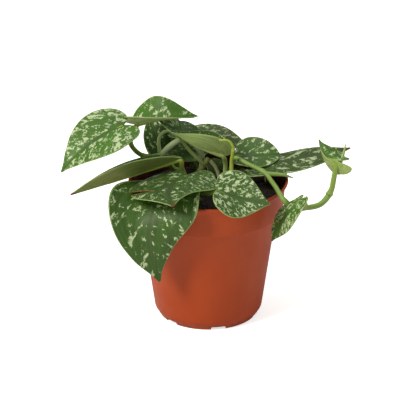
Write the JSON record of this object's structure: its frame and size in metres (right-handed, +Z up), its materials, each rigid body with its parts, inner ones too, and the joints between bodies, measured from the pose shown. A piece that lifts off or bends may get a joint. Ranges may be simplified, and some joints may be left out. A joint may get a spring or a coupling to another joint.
{
  "type": "potted pothos plant",
  "caption": "Young satin pothos with silver-splashed heart-shaped leaves and a trailing vine, rooted in dark potting mix in a round terracotta-coloured plastic nursery pot.",
  "frame": {"origin": "centre of the pot's foot, on the surface the pot stands on; the flat pad in the middle of the floor lies in that plane", "axes": "+Z up along the pot's axis, -Y towards the front, where two leaves hang over the rim, +X to the right, where the long vine trails"},
  "size_m": [0.1875, 0.1232, 0.1462],
  "materials": {
    "pot_plastic": "matt, finely mottled, terracotta colour",
    "potting_mix": "dark peat with pale fibres and grit",
    "leaf": "satin dark green with silver splashes above, pale green below, thin pale edge",
    "stem": "satin green",
    "young_growth": "satin yellow-green",
    "dry_growth": "dry brown fibre"
  },
  "bodies": {
    "root": {"nursery_pot": "pot_plastic", "potting_mix": "potting_mix", "vine_left": "stem", "vine_right": "stem", "stem_centre": "stem", "stem_back": "stem", "leaf_left_high": "leaf", "leaf_top_folded": "leaf", "leaf_left_long": "leaf", "leaf_front_drooping": "leaf", "leaf_front_rim": "leaf", "leaf_centre_folded": "leaf", "leaf_small_centre": "leaf", "leaf_back_brown": "leaf", "leaf_back_top": "leaf", "leaf_back_left": "leaf", "leaf_back_middle": "leaf", "leaf_right_round": "leaf", "leaf_right_long": "leaf", "leaf_inner_right": "leaf", "leaf_inner_middle": "leaf", "leaf_vine_tip": "leaf", "leaf_vine_hanging": "leaf", "leaf_front_heart": "leaf", "petiole_left_high": "stem", "petiole_top_folded": "stem", "petiole_left_long": "stem", "petiole_front_drooping": "stem", "petiole_front_rim": "stem", "petiole_centre_folded": "stem", "petiole_small_centre": "stem", "petiole_back_brown": "stem", "petiole_back_top": "stem", "petiole_back_left": "stem", "petiole_back_middle": "stem", "petiole_right_round": "stem", "petiole_right_long": "stem", "petiole_inner_right": "stem", "petiole_inner_middle": "stem", "petiole_vine_tip": "stem", "petiole_vine_hanging": "stem", "petiole_front_heart": "stem", "shoot_young": "young_growth", "shoot_node": "young_growth", "shoot_vine_tip": "young_growth", "bud_left": "young_growth", "aerial_root": "dry_growth", "sheath_old": "dry_growth"}
  },
  "joints": []
}
